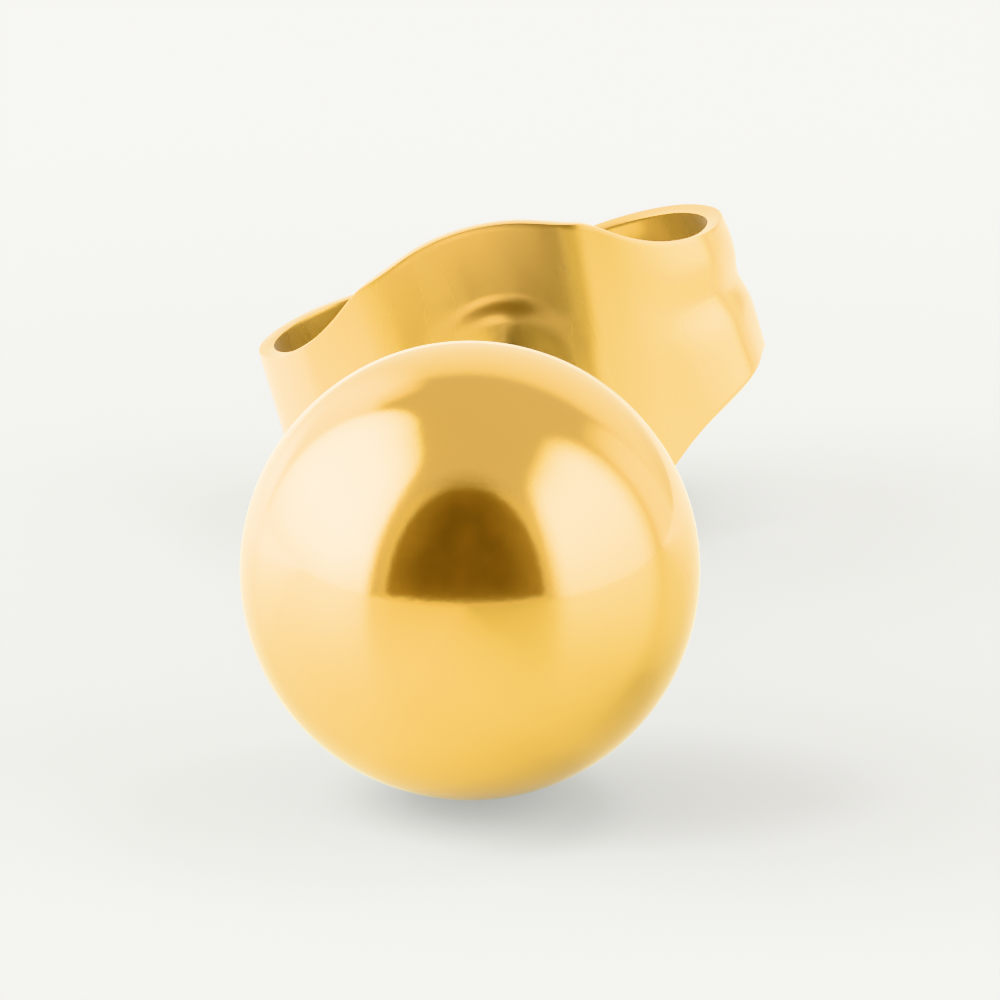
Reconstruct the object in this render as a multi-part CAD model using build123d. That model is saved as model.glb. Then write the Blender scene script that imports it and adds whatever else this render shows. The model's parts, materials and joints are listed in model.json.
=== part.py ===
"""Ball stud earring: a polished ball on a soldered post, held by a butterfly clutch.

Millimetres, +Z up. The stud lies on a flat surface: the ball touches it at the front, and the
clutch stands behind on one straight slanted side of its plate, so the post dips a little
towards the back and the clutch is rolled about it. The front of the ball faces -Y.

Each piece is first made about the post: +Y runs along the post from the ball's centre, and the
clutch lies level. lay_down() then rolls, tilts and places it.
"""
import os
from math import asin, atan, atan2, cos, degrees, hypot, radians, sin, tan

from build123d import *

# ---------- driving dimensions ----------
BALL_DIAMETER = 5.0
POST_DIAMETER = 0.76
POST_LENGTH = 10.0            # from the back of the ball to the rounded end
POST_END_ROUND = 0.25
SOLDER_SPREAD = 0.22          # how far the solder fillet runs up the post and out on the ball

SHEET = 0.17                  # sheet metal of the clutch
CLUTCH_AT = 9.0               # ball centre to the middle of the clutch's plate
HOLE_DIAMETER = 0.84          # a running fit on the post
APEX_HEIGHT = 1.964           # half height of the plate where its straight sides would meet
APEX_ROUND = 2.04             # radius that rounds off that apex above the post
FOOT_ROUND = 0.60             # and below it: the straight side it stands on runs on past the post
SIDE_ANGLE = 16.7             # slant of the plate's straight sides, in degrees
SIDE_END = 1.36               # where a straight side ends, measured across from the post
SHOULDER_FALL = 0.85          # how steeply the outline falls beyond it, as a slope
SHOULDER_RUN = 0.30           # how far across it falls like that
SHOULDER_ROUND = 0.50
TONGUE_HALF = 0.88            # half height of the two curled tongues
BOSS = (0.72, 1.02, 0.11)     # raised ring round the hole: top radius, foot radius, height

PLATE_HALF = 1.28             # flat part of the plate, across from the post
BEND = (1.25, 52.0)           # radius and turn of the bend out of the plate
CHEEK = (1.86, 76.0)          # radius and turn of the gentle outer cheek
TIP = (0.62, 70.0)            # radius and turn of the tip, curled into the scroll
GRIP_GAP = 0.03               # from each scroll to the post

# ---------- resting attitude ----------
BALL_RADIUS = BALL_DIAMETER / 2
ROLL = SIDE_ANGLE             # the clutch stands on a straight side
REST_HEIGHT = APEX_HEIGHT * cos(radians(SIDE_ANGLE))
REST_REACH = CLUTCH_AT + SHEET / 2
TILT = degrees(asin(BALL_RADIUS / hypot(REST_HEIGHT, REST_REACH)) - atan2(REST_HEIGHT, REST_REACH))


def lay_down(piece):
    """Roll about the post, tilt until ball and clutch touch the surface, and centre on it."""
    laid = Pos(0, 0, BALL_RADIUS) * Rot(-TILT, 0, 0) * Rot(0, -ROLL, 0) * piece
    reach = (BALL_RADIUS + POST_LENGTH) * cos(radians(TILT)) + POST_END_ROUND * sin(radians(TILT)) / 2
    return Pos(0, (BALL_RADIUS - reach) / 2, 0) * laid


def ball_and_post():
    """One piece: the post is soldered into the back of the ball, with a small fillet."""
    tip_y = BALL_RADIUS + POST_LENGTH
    r_post = POST_DIAMETER / 2
    r_toe = r_post + SOLDER_SPREAD
    toe_y = (BALL_RADIUS**2 - r_toe**2) ** 0.5
    side_y = BALL_RADIUS + SOLDER_SPREAD
    turn = atan2(toe_y, r_toe)
    with BuildSketch() as half:
        with BuildLine():
            ball = CenterArc((0, 0), BALL_RADIUS, -90, 90 + degrees(turn))
            solder = Spline(
                ball @ 1,
                (r_post, side_y),
                tangents=[(-cos(turn / 2 + 0.8), sin(turn / 2 + 0.8)), (0, 1)],
            )
            shank = Line(solder @ 1, (r_post, tip_y - POST_END_ROUND))
            end = TangentArc(shank @ 1, (r_post - POST_END_ROUND, tip_y), tangent=(0, 1))
            Polyline(end @ 1, (0, tip_y), (0, -BALL_RADIUS))
        make_face()
    return revolve(half.sketch, axis=Axis.Y)


def scroll_line(first, turns, heading):
    """A run of tangent arcs, each given as (radius, turn), from a point along a heading."""
    arcs = []
    start, angle = Vector(*first), heading
    for radius, turn in turns:
        centre = start + Vector(-sin(radians(angle)), cos(radians(angle))) * radius
        arc = CenterArc(centre, radius, angle - 90, turn)
        arcs.append(arc)
        start, angle = arc @ 1, angle + turn
    return arcs, start, angle


def strip(lines, half_height):
    """The sheet's section along these lines, raised to this half height above and below."""
    section = trace(Wire(lines), line_width=SHEET)
    return extrude(Plane.XY * section, amount=half_height, both=True)


def plate_outline():
    """Front outline of one right-hand half: slanted sides, round shoulders, tongue width."""
    fall = tan(radians(SIDE_ANGLE))
    corner = (SIDE_END, APEX_HEIGHT - fall * SIDE_END)
    reach = 3.2
    knee = (corner[0] + SHOULDER_RUN, corner[1] - SHOULDER_RUN * SHOULDER_FALL)
    cheek = 2.62
    with BuildSketch() as outline:
        with BuildLine():
            top = Polyline((0, APEX_HEIGHT), corner, knee)
            fair = Spline(top @ 1, (cheek, TONGUE_HALF), tangents=[(1, -SHOULDER_FALL), (1, 0)])
            Polyline(fair @ 1, (reach, TONGUE_HALF), (reach, 0), (0, 0), (0, APEX_HEIGHT))
        make_face()
        corner_vertex = outline.vertices().sort_by_distance((corner[0], corner[1], 0))[0]
        fillet(corner_vertex, SHOULDER_ROUND)
        mirror(about=Plane.XZ)
        mirror(about=Plane.YZ)
        for radius, end in ((FOOT_ROUND, 0), (APEX_ROUND, -1)):
            apexes = outline.vertices().filter_by(lambda v: abs(v.X) < 1e-6).sort_by(Axis.Y)
            fillet(apexes[end], radius)
    return outline.sketch


def boss_ring():
    """The raised ring pressed into the plate round its hole, with the sheet's own thickness."""
    top, foot, height = BOSS
    inner, skin = HOLE_DIAMETER / 2, SHEET / 2
    section = Polyline(
        (foot, -skin), (top, -skin - height), (inner, -skin - height),
        (inner, skin - height), (top, skin - height), (foot, skin), close=True,
    )
    return revolve(make_face(section), axis=Axis.Y)


def butterfly_clutch():
    """One strip of sheet: a pierced plate whose two ends curl back and press on the post."""
    plate = Line((0, 0), (PLATE_HALF, 0))
    cheek_arcs, side_end, side_angle = scroll_line((PLATE_HALF, 0), [BEND, CHEEK], 0)
    nearest = POST_DIAMETER / 2 + GRIP_GAP + SHEET / 2
    back_radius = (side_end.X - nearest) / (1 + sin(radians(side_angle)))
    back = (back_radius, 270 - side_angle)
    back_arcs, _, _ = scroll_line(side_end, [back, TIP], side_angle)
    front = strip([plate, *cheek_arcs], APEX_HEIGHT + 1)
    front += mirror(front, about=Plane.YZ)
    outline = extrude(Plane.XZ * plate_outline(), amount=8, both=True)
    tongue = strip(back_arcs, TONGUE_HALF)
    opened = (front & outline) - Rot(90, 0, 0) * Cylinder(BOSS[1], 2 * SHEET)
    clutch = opened + boss_ring() + tongue + mirror(tongue, about=Plane.YZ)
    return Pos(0, CLUTCH_AT, 0) * clutch


PIECES = {
    "ball_and_post": ball_and_post,
    "butterfly_clutch": butterfly_clutch,
}

if __name__ == "__main__":
    os.makedirs("parts", exist_ok=True)
    for node, make in PIECES.items():
        export_step(lay_down(make()), f"parts/{node}.step")
    print(f"tilt {TILT:.3f} deg")
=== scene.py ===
import json
import math

import bmesh
import bpy
from mathutils import Matrix, Vector


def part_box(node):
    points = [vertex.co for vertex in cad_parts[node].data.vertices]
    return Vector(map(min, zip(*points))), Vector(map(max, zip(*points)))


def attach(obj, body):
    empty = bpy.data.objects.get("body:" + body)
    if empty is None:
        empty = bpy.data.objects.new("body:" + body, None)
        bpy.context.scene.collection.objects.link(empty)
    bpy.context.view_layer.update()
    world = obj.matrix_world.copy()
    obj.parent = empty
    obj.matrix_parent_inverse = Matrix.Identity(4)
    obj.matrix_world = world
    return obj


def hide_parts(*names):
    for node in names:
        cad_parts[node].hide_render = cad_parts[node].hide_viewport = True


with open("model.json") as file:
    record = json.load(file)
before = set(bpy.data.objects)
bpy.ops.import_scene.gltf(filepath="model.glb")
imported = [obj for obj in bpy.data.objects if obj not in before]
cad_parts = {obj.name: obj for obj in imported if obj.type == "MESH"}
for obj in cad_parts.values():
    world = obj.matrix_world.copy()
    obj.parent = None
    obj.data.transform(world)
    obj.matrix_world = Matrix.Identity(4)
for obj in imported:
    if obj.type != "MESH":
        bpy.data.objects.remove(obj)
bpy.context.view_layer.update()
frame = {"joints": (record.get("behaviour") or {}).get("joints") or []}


# ---------------------------------------------------------------------------------------------
# BALL AND POST
# A solid steel ball, turned and mirror polished, with a straight wire post soldered into its
# back. The two are plated together in yellow gold, so they are one piece with a small fillet.
# ---------------------------------------------------------------------------------------------
MM = 0.001                     # meshes are made in millimetres and laid down in metres
BALL_RADIUS = 2.5
POST_RADIUS = 0.38
POST_END_AT = 12.5             # from the ball's centre
POST_END_ROUND = 0.25
SOLDER_SPREAD = 0.22           # how far the fillet runs up the post and out on the ball
HOLLOW_SHARE = 1.04            # what the fillet's hollow is drawn in to, of the post's radius
HOLLOW_RISE = 0.04             # and how far off the ball
BALL_SECTORS = 224

BALL_GOLD = (1.0, 0.624, 0.158, 1.0)
BALL_GOLD_PALE = (1.0, 0.642, 0.184, 1.0)
# Painted shade: in reflections in other gold the ball takes this dimmer, greyer tone.
BALL_SHADE_IN_REFLECTIONS = (0.26, 0.245, 0.265, 1.0)   # what a reflection in other gold shows
BALL_HAZE = (0.08, 0.12)       # roughness, from the clearest places to the haziest

slide = frame["joints"][0]
post_axis = Vector(slide["axis"]).normalized()
level_right = Vector((1, 0, 0))
post_up = level_right.cross(post_axis)
ball_low, ball_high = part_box("ball_and_post")
ball_centre = Vector((0, ball_low.y + BALL_RADIUS * MM, BALL_RADIUS * MM))


def place_along_post(mesh, roll=0.0):
    """Scale a mesh made in millimetres about the post and lay it where the stud lies."""
    right = level_right * math.cos(roll) + post_up * math.sin(roll)
    up = post_up * math.cos(roll) - level_right * math.sin(roll)
    turn = Matrix((right, post_axis, up)).transposed().to_4x4()
    mesh.transform(Matrix.Translation(ball_centre) @ turn @ Matrix.Scale(MM, 4))
    mesh.shade_smooth()


def link_piece(name, mesh):
    piece = bpy.data.objects.new(name, mesh)
    bpy.context.scene.collection.objects.link(piece)
    return piece


def stud_profile():
    """(radius, distance along the post) from the front of the ball to the end of the post."""
    toe = POST_RADIUS + SOLDER_SPREAD
    toe_angle = math.pi - math.asin(toe / BALL_RADIUS)
    rings = 150
    points = []
    for i in range(rings + 1):
        angle = toe_angle * i / rings
        points.append((BALL_RADIUS * math.sin(angle), -BALL_RADIUS * math.cos(angle)))
    start = points[-1]
    end = (POST_RADIUS, BALL_RADIUS + SOLDER_SPREAD)
    bend = (POST_RADIUS * HOLLOW_SHARE, start[1] + HOLLOW_RISE)
    fillet_steps = 10
    for i in range(1, fillet_steps + 1):
        t = i / fillet_steps
        pulls = ((1 - t) ** 2, 2 * t * (1 - t), t * t)
        corners = (start, bend, end)
        points.append(tuple(sum(w * p[k] for w, p in zip(pulls, corners)) for k in (0, 1)))
    shank_steps = 24
    shank_end = POST_END_AT - POST_END_ROUND
    for i in range(1, shank_steps + 1):
        points.append((POST_RADIUS, end[1] + (shank_end - end[1]) * i / shank_steps))
    round_steps = 8
    for i in range(1, round_steps + 1):
        angle = math.pi / 2 * i / round_steps
        radius = POST_RADIUS - POST_END_ROUND * (1 - math.cos(angle))
        points.append((radius, shank_end + POST_END_ROUND * math.sin(angle)))
    points.append((0.0, POST_END_AT))
    return points


def turned_mesh(name, profile, sectors):
    """A lathe-turned closed mesh about the +Y axis."""
    bm = bmesh.new()
    rings = []
    for radius, along in profile:
        if radius < 1e-6:
            rings.append([bm.verts.new((0, along, 0))])
            continue
        ring = []
        for k in range(sectors):
            angle = 2 * math.pi * k / sectors
            ring.append(bm.verts.new((radius * math.cos(angle), along, radius * math.sin(angle))))
        rings.append(ring)
    for near, far in zip(rings, rings[1:]):
        for k in range(sectors):
            m = (k + 1) % sectors
            corners = [near[k % len(near)], near[m % len(near)], far[m % len(far)], far[k % len(far)]]
            unique = list(dict.fromkeys(corners))
            bm.faces.new(unique)
    bmesh.ops.recalc_face_normals(bm, faces=bm.faces)
    mesh = bpy.data.meshes.new(name)
    bm.to_mesh(mesh)
    bm.free()
    return mesh


def math_node(tree, operation, *values):
    """Arithmetic on numbers and sockets."""
    node = tree.nodes.new("ShaderNodeMath")
    node.operation = operation
    for socket, value in zip(node.inputs, values):
        if isinstance(value, (int, float)):
            socket.default_value = value
        else:
            tree.links.new(value, socket)
    return node.outputs[0]


def mix_colours(tree, share, first, second):
    """The first colour where the share is 0, going over to the second where it is 1."""
    mix = tree.nodes.new("ShaderNodeMix")
    mix.data_type = "RGBA"
    tree.links.new(share, mix.inputs["Factor"])
    for label, colour in (("A", first), ("B", second)):
        if isinstance(colour, tuple):
            mix.inputs[label].default_value = colour
        else:
            tree.links.new(colour, mix.inputs[label])
    return mix.outputs["Result"]


def rise_node(tree, value, start, end, low=0.0, high=1.0, kind="LINEAR"):
    """Low up to the start, high from the end on, and a straight or smooth rise between."""
    step = tree.nodes.new("ShaderNodeMapRange")
    step.interpolation_type = kind
    step.inputs["From Min"].default_value = start
    step.inputs["From Max"].default_value = end
    step.inputs["To Min"].default_value = low
    step.inputs["To Max"].default_value = high
    tree.links.new(value, step.inputs["Value"])
    return step.outputs["Result"]


def polish_marks_group():
    """Shader group: fine polishing grain and slow unevenness, as a height and a haze mask."""
    group = bpy.data.node_groups.new("polish marks", "ShaderNodeTree")
    face = group.interface
    face.new_socket("Vector", in_out="INPUT", socket_type="NodeSocketVector")
    for label, default in (("Grain scale", 6000.0), ("Wave scale", 300.0), ("Wave share", 0.5)):
        socket = face.new_socket(label, in_out="INPUT", socket_type="NodeSocketFloat")
        socket.default_value = default
    face.new_socket("Height", in_out="OUTPUT", socket_type="NodeSocketFloat")
    face.new_socket("Haze", in_out="OUTPUT", socket_type="NodeSocketFloat")
    nodes, links = group.nodes, group.links
    inside = nodes.new("NodeGroupInput")
    out = nodes.new("NodeGroupOutput")
    grain = nodes.new("ShaderNodeTexNoise")
    grain.inputs["Detail"].default_value = 3.0
    wave = nodes.new("ShaderNodeTexNoise")
    wave.inputs["Detail"].default_value = 1.5
    links.new(inside.outputs["Vector"], grain.inputs["Vector"])
    links.new(inside.outputs["Grain scale"], grain.inputs["Scale"])
    links.new(inside.outputs["Vector"], wave.inputs["Vector"])
    links.new(inside.outputs["Wave scale"], wave.inputs["Scale"])
    blend = nodes.new("ShaderNodeMix")
    links.new(inside.outputs["Wave share"], blend.inputs["Factor"])
    links.new(grain.outputs["Fac"], blend.inputs["A"])
    links.new(wave.outputs["Fac"], blend.inputs["B"])
    links.new(blend.outputs["Result"], out.inputs["Height"])
    links.new(wave.outputs["Fac"], out.inputs["Haze"])
    return group


polish_marks = polish_marks_group()


def polished_gold(name, where, scales, colours, reflection_shade, roughness):
    """Gold with the polish marks in its colour and gloss, and painted shade where seen in gold.

    The scales are the group's grain scale, wave scale and wave share. Gold seen in gold would
    turn orange, so a reflection of it takes the tone given for reflections instead, a painted
    shade, dimmer and greyer.
    """
    material = bpy.data.materials.new(name)
    material.use_nodes = True
    tree = material.node_tree
    shader = tree.nodes["Principled BSDF"]
    shader.inputs["Metallic"].default_value = 1.0
    marks = tree.nodes.new("ShaderNodeGroup")
    marks.node_tree = polish_marks
    for label, value in zip(("Grain scale", "Wave scale", "Wave share"), scales):
        marks.inputs[label].default_value = value
    tree.links.new(where(tree), marks.inputs["Vector"])
    haze = marks.outputs["Haze"]
    path = tree.nodes.new("ShaderNodeLightPath")
    again = math_node(tree, "MINIMUM", path.outputs["Glossy Depth"], 1.0)
    tone = mix_colours(tree, again, mix_colours(tree, haze, *colours), reflection_shade)
    tree.links.new(tone, shader.inputs["Base Color"])
    tree.links.new(rise_node(tree, haze, 0.3, 0.7, *roughness), shader.inputs["Roughness"])
    return material, shader, marks, path


def on_the_ball(tree):
    return tree.nodes.new("ShaderNodeTexCoord").outputs["Object"]


def ball_gold_material():
    """Mirror-polished yellow gold plate, with a fine grain that can just be felt."""
    material, shader, marks, _ = polished_gold(
        "ball gold", on_the_ball, (9000.0, 420.0, 0.6),
        (BALL_GOLD, BALL_GOLD_PALE), BALL_SHADE_IN_REFLECTIONS, BALL_HAZE,
    )
    tree = material.node_tree
    bump = tree.nodes.new("ShaderNodeBump")
    bump.inputs["Strength"].default_value = 0.35
    bump.inputs["Distance"].default_value = 0.000004
    tree.links.new(marks.outputs["Height"], bump.inputs["Height"])
    tree.links.new(bump.outputs["Normal"], shader.inputs["Normal"])
    return material


stud_mesh = turned_mesh("polished_ball_and_post", stud_profile(), BALL_SECTORS)
place_along_post(stud_mesh)
stud_mesh.materials.append(ball_gold_material())
polished_stud = link_piece("polished_ball_and_post", stud_mesh)
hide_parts("ball_and_post")
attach(polished_stud, "stud")


# ---------------------------------------------------------------------------------------------
# BUTTERFLY CLUTCH
# One strip of thin plated sheet, blanked wide in the middle and narrow at the ends, pierced for
# the post, then rolled back at both ends so that the two scrolls grip the post like springs.
# ---------------------------------------------------------------------------------------------
CLUTCH_AT = 9.0                # from the ball's centre to the middle of the sheet
SHEET = 0.17
EDGE_ROUND = 0.07
HOLE_RADIUS = 0.42
ROLL = math.radians(16.7)      # its turn about the post, which is the slant of its sides too

# The blank: an apex above and below the hole, straight slanted sides, then a narrow tongue.
APEX_HEIGHT = 1.964            # where the slanted sides would meet
APEX_ROUND = 2.60              # the radius that rounds off the apex above the post
FOOT_ROUND = 0.60              # and below it, so that the clutch stands on a straight side
SIDE_END = 1.236
TAPER = 2.76                   # how fast the upper edge closes in on the tongue's width
FOOT_TAPER = 1.85              # and the lower edge
TONGUE_HALF = 0.878

# The ring pressed up round the hole, uneven in height.
BOSS_TOP = 0.74                # radius of its flat top
BOSS_FOOT = 1.05
BOSS_HEIGHT = 0.054
BOSS_EASE = 0.06               # how softly its slope starts and ends
BOSS_LEAN = math.radians(12)   # it is highest this far to the right of straight up
BOSS_SPREAD = math.radians(38)
BOSS_FLAT = 0.40               # the share of its height that is left away from there

# (length, turn in degrees) of each run of the rolled strip, from the post outwards. The last
# two runs of a side are its scroll, which ends just off the post.
RIGHT_SCROLL = ((2.422, 142.0), (0.757, 70.0))
LEFT_SCROLL = ((2.535, 142.0), (0.757, 70.0))
LEFT_RUNS = ((1.04, 0.0), (0.34, 17.5), (0.76, 4.5), (0.30, 30.0), (2.29, 76.0), *LEFT_SCROLL)
RUN_BLEND = 0.14               # each run eases into the next over this length
BEND_LEAN = 0.40               # how much earlier the foot of the right-hand side starts to bend

# The unevenness of a part bent by hand. Places are lengths along the strip from the post.
PINCH_FROM = 1.5               # the right-hand turn starts to be pinched here
PINCH_OVER = 1.6               # and is fully pinched this much further on
GUTTER = 0.075                 # how deep, a little above the middle of the strip
GUTTER_AT = 0.2
GUTTER_SPREAD = 0.28
TOP_PINCH = 0.07               # and at its top edge
FLARE = 0.08                   # how far the foot of the right-hand side spreads before the turn
FLARE_AT = 2.6
FLARE_SPREAD = 0.5
CORNER_WEAR = 0.20             # how much the low corner of the right-hand turn is cut away
CORNER_AT = 3.20
CORNER_SPREAD = 0.75
RIGHT_DIP = 0.030              # how far the top edge dips at the right-hand bend
LEFT_DIP = 0.045               # and at the left-hand bend
DIP_AT = 1.3
DIP_SPREAD = 0.5
BACK_DROP = 0.022              # how much lower the top of each scroll is than the taper makes it
BACK_DROP_FROM = 1.4
BACK_DROP_OVER = 1.2

STATIONS = 176                 # along each half of the strip
SUBSTEPS = 8
ROWS = 36                      # across the strip
CORE = 13                      # stations on each side of the post that hold the pierced middle
HOLE_RINGS = 36                # from there in to the hole
RING_CROWDING = 0.8            # under 1 sets the rings closer towards the hole

SHEET_GOLD = (0.86, 0.542, 0.142, 1.0)
SHEET_GOLD_PALE = (0.86, 0.556, 0.166, 1.0)
# Painted shade: in reflections in gold, as inside the scrolls, the sheet takes this dimmer, greyer
# tone.
SHEET_SHADE_IN_REFLECTIONS = (0.30, 0.27, 0.24, 1.0)
SHEET_GLOW = (0.27, 0.25, 0.215, 1.0)
SHEET_HAZE = (0.23, 0.29)      # roughness


def right_runs(early):
    """The right-hand runs, for a row of the sheet that starts to bend this much earlier."""
    plate = ((0.80 - early, 0.0), (0.24, 4.0), (0.20, 21.0))
    return (*plate, (0.74 + early, 3.5), (0.51, 14.0), (0.50, 32.0), (1.74, 53.5), *RIGHT_SCROLL)


def strip_curvature(s, runs):
    """Curvature of the strip at a distance along it, with the runs eased into each other."""
    start, value = 0.0, 0.0
    for length, turn in runs:
        bend = math.radians(turn) / length
        rise = min(max((s - start) / RUN_BLEND + 0.5, 0.0), 1.0) if start else 1.0
        value += (bend - value) * rise
        start += length
    return value


def strip_stations(runs):
    """(distance, across, back, heading) along one half of the strip, from the post outwards."""
    total = sum(length for length, _ in runs)
    across = back = heading = 0.0
    stations = [(0.0, 0.0, 0.0, 0.0)]
    for i in range(STATIONS):
        for k in range(SUBSTEPS):
            s = total * (i + (k + 0.5) / SUBSTEPS) / STATIONS
            ds = total / STATIONS / SUBSTEPS
            heading += strip_curvature(s, runs) * ds
            across += math.cos(heading) * ds
            back += math.sin(heading) * ds
        stations.append((total * (i + 1) / STATIONS, across, back, heading))
    return stations


LEFT_STATIONS = strip_stations(LEFT_RUNS)
RIGHT_STATIONS = [strip_stations(right_runs(BEND_LEAN * (1 - r / ROWS))) for r in range(ROWS + 1)]


def bell(x, centre, spread):
    """1 at the centre, fading to 0 on both sides."""
    return math.exp(-((x - centre) / spread) ** 2)


def ramp(x, start, length):
    """0 up to the start, then a straight rise to 1."""
    return min(max((x - start) / length, 0.0), 1.0)


def half_height(s, apex_round, taper):
    """Half height of the blank: round apex, straight slanted side, then the narrowing tongue."""
    if s <= apex_round * math.sin(ROLL):
        return APEX_HEIGHT - apex_round / math.cos(ROLL) + math.sqrt(apex_round**2 - s**2)
    slant = APEX_HEIGHT - math.tan(ROLL) * min(s, SIDE_END)
    if s <= SIDE_END:
        return slant
    shoulder = slant - TONGUE_HALF
    past = s - SIDE_END
    start_slope = math.tan(ROLL) / shoulder
    return TONGUE_HALF + shoulder * math.exp(-start_slope * past - taper * past**2 / (1 + past))


def boss_rise(across, up):
    """How far the ring round the hole stands forward of the plate at this place."""
    t = min(max((BOSS_FOOT - math.hypot(across, up)) / (BOSS_FOOT - BOSS_TOP), 0.0), 1.0)
    high = bell(math.atan2(across, up), BOSS_LEAN, BOSS_SPREAD)
    height = BOSS_HEIGHT * (BOSS_FLAT + (1 - BOSS_FLAT) * high)
    return height * (t - BOSS_EASE * math.sin(2 * math.pi * t))


def strip_point(index, share):
    """Place on the middle surface: signed station and share of the half height, -1 to 1."""
    side = 1 if index >= 0 else -1
    stations = RIGHT_STATIONS[round((share + 1) / 2 * ROWS)] if side > 0 else LEFT_STATIONS
    s, across, back, heading = stations[abs(index)]
    if side > 0:
        onset = ramp(s, PINCH_FROM, PINCH_OVER)
        onset = onset * onset * (3 - 2 * onset)
        pinch = GUTTER * bell(share, GUTTER_AT, GUTTER_SPREAD) + TOP_PINCH * max(share, 0.0) ** 2
        across -= pinch * onset * math.sin(heading)
        back += pinch * onset * math.cos(heading)
        across += FLARE * max(-share, 0.0) * bell(s, FLARE_AT, FLARE_SPREAD)
    if share > 0:
        half = half_height(s, APEX_ROUND, TAPER)
        dip = (RIGHT_DIP if side > 0 else LEFT_DIP) * bell(s, DIP_AT, DIP_SPREAD)
        half -= dip + BACK_DROP * ramp(s, BACK_DROP_FROM, BACK_DROP_OVER)
    else:
        half = half_height(s, FOOT_ROUND, FOOT_TAPER)
        if side > 0:
            half -= CORNER_WEAR * bell(s, CORNER_AT, CORNER_SPREAD)
    up = share * half
    return Vector((side * across, back - boss_rise(side * across, up), up))


def strip_mesh():
    """The middle surface of the rolled strip, as quads, with its hole left open.

    Its UV map is the strip laid out flat: length from the post, and height.
    """
    bm = bmesh.new()
    uv_layer = bm.loops.layers.uv.new("strip")
    flat = {}

    def add(place, flat_across):
        vert = bm.verts.new(place)
        flat[vert] = (flat_across, place.z)
        return vert

    def add_edge(index, share):
        place = strip_point(index, share)
        return add(place, place.x)

    columns = {}
    for side in (-1, 1):
        for i in range(CORE, STATIONS + 1):
            length = LEFT_STATIONS[i][0]
            columns[side * i] = [
                add(strip_point(side * i, -1 + 2 * r / ROWS), side * length) for r in range(ROWS + 1)
            ]
        for i in range(CORE, STATIONS):
            near, far = columns[side * i], columns[side * (i + 1)]
            for r in range(ROWS):
                bm.faces.new((near[r], far[r], far[r + 1], near[r + 1]))

    # Round the pierced middle: up its right side, left along the top, down, and back.
    outer = list(columns[CORE])
    outer += [add_edge(i, 1) for i in range(CORE - 1, -CORE, -1)]
    outer += reversed(columns[-CORE])
    outer += [add_edge(i, -1) for i in range(1 - CORE, CORE)]
    rings = [outer]
    for n in range(1, HOLE_RINGS + 1):
        ring = []
        for vert in outer:
            angle = math.atan2(vert.co.z, vert.co.x)
            hole = Vector((math.cos(angle) * HOLE_RADIUS, 0, math.sin(angle) * HOLE_RADIUS))
            place = vert.co.lerp(hole, (n / HOLE_RINGS) ** RING_CROWDING)
            place.y = -boss_rise(place.x, place.z)
            ring.append(add(place, place.x))
        rings.append(ring)
    for near, far in zip(rings, rings[1:]):
        for k in range(len(near)):
            m = (k + 1) % len(near)
            bm.faces.new((near[k], near[m], far[m], far[k]))
    bmesh.ops.recalc_face_normals(bm, faces=bm.faces)
    for face in bm.faces:
        for loop in face.loops:
            loop[uv_layer].uv = flat[loop.vert]
    mesh = bpy.data.meshes.new("rolled_strip")
    bm.to_mesh(mesh)
    bm.free()
    return mesh


def thicken(mesh):
    """Give the middle surface its sheet thickness and rounded edges, applied to the mesh."""
    draft = link_piece("draft", mesh)
    wall = draft.modifiers.new("wall", "SOLIDIFY")
    wall.thickness = SHEET
    wall.offset = 0.0
    wall.use_even_offset = True
    rounding = draft.modifiers.new("rounding", "BEVEL")
    rounding.width = EDGE_ROUND
    rounding.segments = 3
    rounding.limit_method = "ANGLE"
    rounding.angle_limit = math.radians(50)
    bpy.context.view_layer.update()
    finished = draft.evaluated_get(bpy.context.evaluated_depsgraph_get())
    solid = bpy.data.meshes.new_from_object(finished)
    bpy.data.objects.remove(draft)
    return solid


def along_the_strip(tree):
    """Where the sheet's marks lie, on the strip laid flat and drawn out across it."""
    strip = tree.nodes.new("ShaderNodeUVMap")
    strip.uv_map = "strip"
    stretch = tree.nodes.new("ShaderNodeVectorMath")
    stretch.operation = "MULTIPLY"
    stretch.inputs[1].default_value = (1.0, 0.18, 1.0)
    tree.links.new(strip.outputs["UV"], stretch.inputs[0])
    return stretch.outputs["Vector"]


def sheet_gold_material():
    """Rolled and plated sheet: satin, with a haze that varies a little across the strip.

    A faint glow, seen only in reflections, stands in for the light that ball and clutch pass
    to and fro.
    """
    material, shader, _, path = polished_gold(
        "sheet gold", along_the_strip, (14.0, 1.7, 0.7),
        (SHEET_GOLD, SHEET_GOLD_PALE), SHEET_SHADE_IN_REFLECTIONS, SHEET_HAZE,
    )
    shader.inputs["Emission Color"].default_value = SHEET_GLOW
    material.node_tree.links.new(path.outputs["Is Glossy Ray"], shader.inputs["Emission Strength"])
    return material


clutch_mesh = thicken(strip_mesh())
clutch_mesh.name = "rolled_clutch"
clutch_mesh.transform(Matrix.Translation((0, CLUTCH_AT, 0)))
place_along_post(clutch_mesh, ROLL)
clutch_mesh.materials.append(sheet_gold_material())
rolled_clutch = link_piece("rolled_clutch", clutch_mesh)
even_faces = rolled_clutch.modifiers.new("even faces", "WEIGHTED_NORMAL")
even_faces.keep_sharp = True
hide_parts("butterfly_clutch")
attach(rolled_clutch, "clutch")


# ---------------------------------------------------------------------------------------------
# TABLE
# A plain pale table top, matt and lit from below like a light table, its glow dimmer beside
# the stud as a painted shadow. Metal sees it paler, warmer and faintly coated, with a painted
# pool of light far behind, brighter on the left, and painted shade near the stud on the right
# and in a second reflection.
# ---------------------------------------------------------------------------------------------
TABLE_HALF = 1.5
TABLE_PALE = (0.17, 0.166, 0.166, 1.0)
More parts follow.
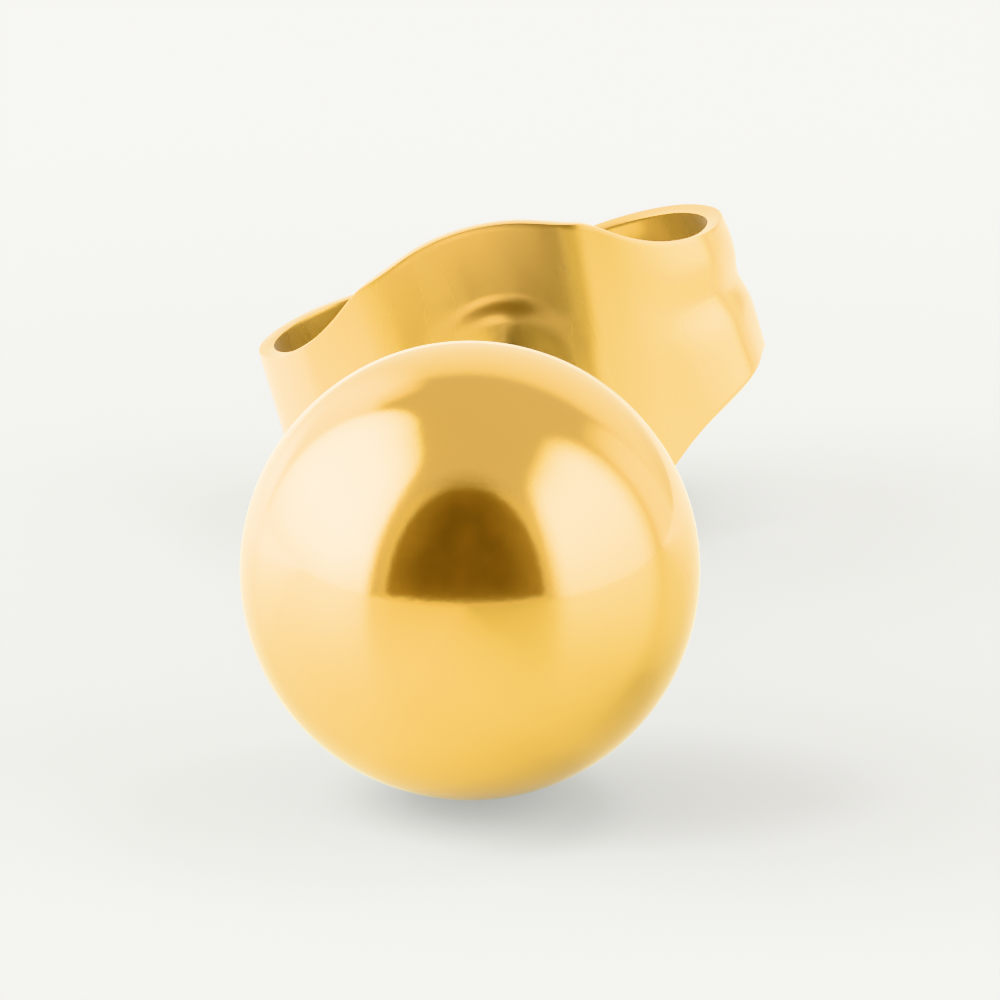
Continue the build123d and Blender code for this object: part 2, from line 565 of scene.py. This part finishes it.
# Painted light: metal, and the light the table passes on, see it paler and warmer than the lens does.
TABLE_PALE_IN_METAL = (0.30, 0.30, 0.24, 1.0)

# Its glow as the lens sees it: dimmer beside the stud, a painted shadow round it, and full
# away from it.
GLOW_BESIDE_SHADED = (0.47, 0.47, 0.447, 1.0)
GLOW_AWAY = (0.71, 0.705, 0.675, 1.0)
AWAY = (0.005, 0.022)          # from the stud's middle, where the one goes over to the other

# Its glow as metal sees it, painted light and shade: a painted pool of light far behind the
# stud, brighter on the left, painted shade near the stud on the right, and painted shade in a
# second reflection.
GLOW_NEAR_LEFT = (0.78, 0.74, 0.58, 1.0)
GLOW_NEAR_RIGHT_SHADED = (0.14, 0.13, 0.105, 1.0)
GLOW_FAR_LEFT = (6.8, 6.6, 5.5, 1.0)
GLOW_FAR_RIGHT = (3.7, 3.6, 3.0, 1.0)
GLOW_SEEN_TWICE_SHADED = (0.27, 0.215, 0.175, 1.0)
BEHIND = (-0.004, 0.012)       # where near goes over to far, straight back from the stud
BEHIND_SLANT = -0.5            # and how much further back that is, per step to the right
RIGHTWARDS = (-0.002, 0.004)   # where left goes over to right


def table_material():
    material = bpy.data.materials.new("pale table")
    material.use_nodes = True
    tree = material.node_tree
    shader = tree.nodes["Principled BSDF"]
    shader.inputs["Roughness"].default_value = 0.8
    shader.inputs["Specular IOR Level"].default_value = 0.1
    shader.inputs["Coat Roughness"].default_value = 0.3
    shader.inputs["Emission Strength"].default_value = 1.0
    path = tree.nodes.new("ShaderNodeLightPath")
    to_lens = path.outputs["Is Camera Ray"]
    tree.links.new(path.outputs["Is Glossy Ray"], shader.inputs["Coat Weight"])
    tone = mix_colours(tree, to_lens, TABLE_PALE_IN_METAL, TABLE_PALE)
    tree.links.new(tone, shader.inputs["Base Color"])

    where = tree.nodes.new("ShaderNodeTexCoord")
    split = tree.nodes.new("ShaderNodeSeparateXYZ")
    tree.links.new(where.outputs["Object"], split.inputs[0])
    to_the_right = math_node(tree, "MAXIMUM", split.outputs["X"], 0.0)
    how_far_back = math_node(tree, "MULTIPLY_ADD", to_the_right, BEHIND_SLANT, split.outputs["Y"])
    behind = rise_node(tree, how_far_back, *BEHIND)
    right = rise_node(tree, split.outputs["X"], *RIGHTWARDS)
    near = mix_colours(tree, right, GLOW_NEAR_LEFT, GLOW_NEAR_RIGHT_SHADED)
    far = mix_colours(tree, right, GLOW_FAR_LEFT, GLOW_FAR_RIGHT)
    # Painted shade: a second reflection sees the table's glow dimmer.
    seen_twice = rise_node(tree, path.outputs["Glossy Depth"], 1.0, 2.0)
    in_metal = mix_colours(tree, seen_twice, mix_colours(tree, behind, near, far), GLOW_SEEN_TWICE_SHADED)

    distance = tree.nodes.new("ShaderNodeVectorMath")
    distance.operation = "LENGTH"
    tree.links.new(where.outputs["Object"], distance.inputs[0])
    away = rise_node(tree, distance.outputs["Value"], *AWAY, kind="SMOOTHSTEP")
    in_lens = mix_colours(tree, away, GLOW_BESIDE_SHADED, GLOW_AWAY)
    glow = mix_colours(tree, to_lens, in_metal, in_lens)
    tree.links.new(glow, shader.inputs["Emission Color"])
    return material


def stage_panel(name, outline, place):
    """A flat panel of the stage with this outline in its own XY plane, placed by a matrix."""
    bm = bmesh.new()
    bm.faces.new([bm.verts.new((x, y, 0)) for x, y in outline])
    mesh = bpy.data.meshes.new(name)
    bm.to_mesh(mesh)
    bm.free()
    panel = link_piece(name, mesh)
    panel.matrix_world = place
    return panel


table_outline = [
    (-TABLE_HALF, -TABLE_HALF),
    (TABLE_HALF, -TABLE_HALF),
    (TABLE_HALF, TABLE_HALF),
    (-TABLE_HALF, TABLE_HALF),
]
table_top = stage_panel("table_top", table_outline, Matrix.Identity(4))
table_top.data.materials.append(table_material())


# ---------------------------------------------------------------------------------------------
# LIGHT TENT
# A small white tent round the table: a wall and a lamp on each side, a bright arched back, a
# dim roof, and an open front, which is the dark arch that polished metal shows.
# ---------------------------------------------------------------------------------------------
TENT = 0.30                    # from the stud to each wall of the tent
WALL_GAP = 0.01                # a lamp hangs this far inside its wall
FACING = {"left": 90, "right": -90, "back": 0, "front": 180}
SIDE_FADE_FROM = 0.3           # where a light starts to fade towards its sides

WHITE = (1.0, 0.99, 0.90)
LAMP_WHITE = (0.98, 1.02, 0.98)
CREAM = (0.90, 0.86, 0.74)
SHADE = (0.46, 0.42, 0.36)
BROWN = (0.38, 0.295, 0.21)
DEEP_BROWN = (0.205, 0.148, 0.107)
ROOF_GREY = (0.75, 0.72, 0.74, 1.0)


def glow_material(name, colour, strength, squareness, softness, low_softness=0.0, fade_from=0.3,
                  top_fade=0.0, side_fade=0.0, mottle=0.0):
    """Light from an arch that fills a panel from its foot, fading towards its top and sides."""
    material = bpy.data.materials.new(name)
    material.use_nodes = True
    tree = material.node_tree
    tree.nodes.remove(tree.nodes["Principled BSDF"])

    def soft_step(value, start, end, low=0.0, high=1.0):
        return rise_node(tree, value, start, end, low, high, kind="SMOOTHSTEP")

    where = tree.nodes.new("ShaderNodeTexCoord")
    split = tree.nodes.new("ShaderNodeSeparateXYZ")
    tree.links.new(where.outputs["Generated"], split.inputs[0])
    from_middle = math_node(tree, "MULTIPLY_ADD", split.outputs["X"], 2.0, -1.0)
    sideways = math_node(tree, "ABSOLUTE", from_middle)
    upwards = math_node(tree, "MAXIMUM", split.outputs["Y"], 0.0)
    powers = [math_node(tree, "POWER", share, squareness) for share in (sideways, upwards)]
    reach = math_node(tree, "POWER", math_node(tree, "ADD", *powers), 1.0 / squareness)
    inside = soft_step(reach, 1.0, 1.0 - softness)
    above_foot = soft_step(upwards, -0.001 - low_softness, low_softness)
    cover = math_node(tree, "MULTIPLY", inside, above_foot)

    noise = tree.nodes.new("ShaderNodeTexNoise")
    noise.inputs["Scale"].default_value = 7.0
    noise.inputs["Detail"].default_value = 4.0
    tree.links.new(where.outputs["Generated"], noise.inputs["Vector"])
    steady, changing = strength * (1 - mottle), 2 * mottle * strength
    uneven = math_node(tree, "MULTIPLY_ADD", noise.outputs["Fac"], changing, steady)
    fade_up = soft_step(upwards, fade_from, 1.0, 1.0, 1.0 - top_fade)
    fade_out = soft_step(sideways, SIDE_FADE_FROM, 1.0, 1.0, 1.0 - side_fade)
    fades = math_node(tree, "MULTIPLY", fade_up, fade_out)
    glow = tree.nodes.new("ShaderNodeEmission")
    glow.inputs["Color"].default_value = (*colour, 1.0)
    tree.links.new(math_node(tree, "MULTIPLY", uneven, fades), glow.inputs["Strength"])

    clear = tree.nodes.new("ShaderNodeBsdfTransparent")
    mixed = tree.nodes.new("ShaderNodeMixShader")
    tree.links.new(cover, mixed.inputs["Fac"])
    tree.links.new(clear.outputs[0], mixed.inputs[1])
    tree.links.new(glow.outputs[0], mixed.inputs[2])
    tree.links.new(mixed.outputs[0], tree.nodes["Material Output"].inputs["Surface"])
    return material


def tent_light(name, side, along, half_width, height, colour, foot=0.0, inset=0.0, **look):
    """A light on one side of the tent. Places and sizes are shares of the distance to the wall."""
    turn = Matrix.Rotation(math.radians(FACING[side]), 4, "Z")
    away = turn @ Vector((0, TENT - inset, 0))
    sideways = Vector((abs(away.y), abs(away.x), 0)).normalized() * along * TENT
    stand = Matrix(((1, 0, 0, 0), (0, 0, -1, 0), (0, 1, 0, 0), (0, 0, 0, 1)))
    place = Matrix.Translation(away + sideways) @ turn @ stand
    half, low, high = half_width * TENT, foot * TENT, height * TENT
    outline = [(-half, low), (half, low), (half, high), (-half, high)]
    panel = stage_panel(name, outline, place)
    panel.data.materials.append(glow_material(name, colour, **look))
    panel.visible_camera = False
    return panel


tent_light(
    "left_wall", "left", along=1.0, half_width=0.46, height=1.6, colour=WHITE,
    strength=3.3, squareness=3.0, softness=0.25, top_fade=0.3,
)
tent_light(
    "right_wall", "right", along=0.82, half_width=0.42, height=1.35, colour=WHITE,
    strength=2.4, squareness=3.0, softness=0.45, top_fade=0.7,
)
tent_light(
    "bright_back", "back", along=0.0, half_width=1.25, height=1.2, colour=WHITE,
    strength=1.9, squareness=2.6, softness=0.26, top_fade=0.4,
)
tent_light(
    "back_left", "back", along=-0.75, half_width=0.52, height=1.55, colour=WHITE,
    strength=4.1, squareness=2.6, softness=0.6, inset=WALL_GAP,
)
tent_light(
    "low_left", "back", along=-0.75, half_width=0.34, height=0.34, colour=WHITE,
    strength=8.5, squareness=2.0, softness=0.8, inset=2 * WALL_GAP,
)
tent_light(
    "low_right", "back", along=0.60, half_width=0.34, height=0.30, colour=WHITE,
    strength=1.3, squareness=2.0, softness=0.8, inset=2 * WALL_GAP,
)
tent_light(
    "front_wall", "front", along=0.0, half_width=1.02, height=1.9, colour=CREAM,
    strength=1.0, squareness=4.0, softness=0.20,
)
tent_light(
    "front_shade", "front", along=0.0, half_width=0.98, foot=0.03, height=2.9, colour=SHADE,
    strength=1.0, squareness=2.2, softness=0.75, inset=WALL_GAP,
)
tent_light(
    "open_front", "front", along=0.01, half_width=0.81, foot=0.045, height=1.62, colour=BROWN,
    strength=1.0, squareness=2.35, softness=0.12, low_softness=0.02, mottle=0.3,
    inset=2 * WALL_GAP,
)
tent_light(
    "deep_front", "front", along=0.0, half_width=0.67, foot=0.065, height=1.95, colour=DEEP_BROWN,
    strength=1.0, squareness=2.4, softness=0.62, low_softness=0.09, mottle=0.4,
    inset=3 * WALL_GAP,
)
tent_light(
    "left_lamp", "left", along=0.03, half_width=0.95, height=3.05, colour=LAMP_WHITE,
    strength=13.0, squareness=4.0, softness=0.22, low_softness=0.15,
    fade_from=0.15, top_fade=0.95, side_fade=0.35, inset=WALL_GAP,
)
tent_light(
    "right_lamp", "right", along=-0.27, half_width=0.76, height=2.1, colour=LAMP_WHITE,
    strength=6.8, squareness=4.0, softness=0.45, low_softness=0.32,
    fade_from=0.4, top_fade=0.95, side_fade=0.10, inset=WALL_GAP,
)

# One small lamp, high up behind on the right, for the soft shadow.
top_light = bpy.data.lights.new("top_light", "AREA")
top_light.shape = "DISK"
top_light.size = 0.24
top_light.energy = 2.5
top_lamp = bpy.data.objects.new("top_light", top_light)
top_lamp.location = (0.27, 0.24, 0.55)
top_lamp.visible_glossy = False
top_lamp.visible_camera = False
bpy.context.scene.collection.objects.link(top_lamp)

# The tent's roof, and no bright spots thrown on the table by the polished ball.
world = bpy.data.worlds.new("tent roof")
world.use_nodes = True
roof = world.node_tree.nodes["Background"]
roof.inputs["Color"].default_value = ROOF_GREY
roof.inputs["Strength"].default_value = 1.0
bpy.context.scene.world = world
bpy.context.scene.cycles.caustics_reflective = False


# ---------------------------------------------------------------------------------------------
# CAMERA
# A long lens a little above the table, looking at the front of the ball with the clutch
# standing up behind it.
# ---------------------------------------------------------------------------------------------
CAMERA_RISE = math.radians(17.15)
CAMERA_TURN = math.radians(2.84)
CAMERA_DISTANCE = 0.300
VIEW_WIDTH = 0.01087           # how wide the view is at the ball
AIM_RIGHT = 0.000325           # from the ball's centre to the middle of the view
AIM_UP = 0.000766

view_back = Vector((
    math.sin(CAMERA_TURN) * math.cos(CAMERA_RISE),
    -math.cos(CAMERA_TURN) * math.cos(CAMERA_RISE),
    math.sin(CAMERA_RISE),
))
view_right = Vector((math.cos(CAMERA_TURN), math.sin(CAMERA_TURN), 0))
view_up = view_back.cross(view_right)
lens = bpy.data.cameras.new("camera")
lens.sensor_width = 36.0
lens.lens = lens.sensor_width * CAMERA_DISTANCE / VIEW_WIDTH
lens.clip_start = 0.01
lens.clip_end = 10.0
camera = bpy.data.objects.new("camera", lens)
bpy.context.scene.collection.objects.link(camera)
aim = ball_centre + view_right * AIM_RIGHT + view_up * AIM_UP
camera.location = aim + view_back * CAMERA_DISTANCE
camera.rotation_mode = "QUATERNION"
camera.rotation_quaternion = (-view_back).to_track_quat("-Z", "Y")
bpy.context.scene.camera = camera
bpy.context.scene.view_settings.view_transform = "Khronos PBR Neutral"
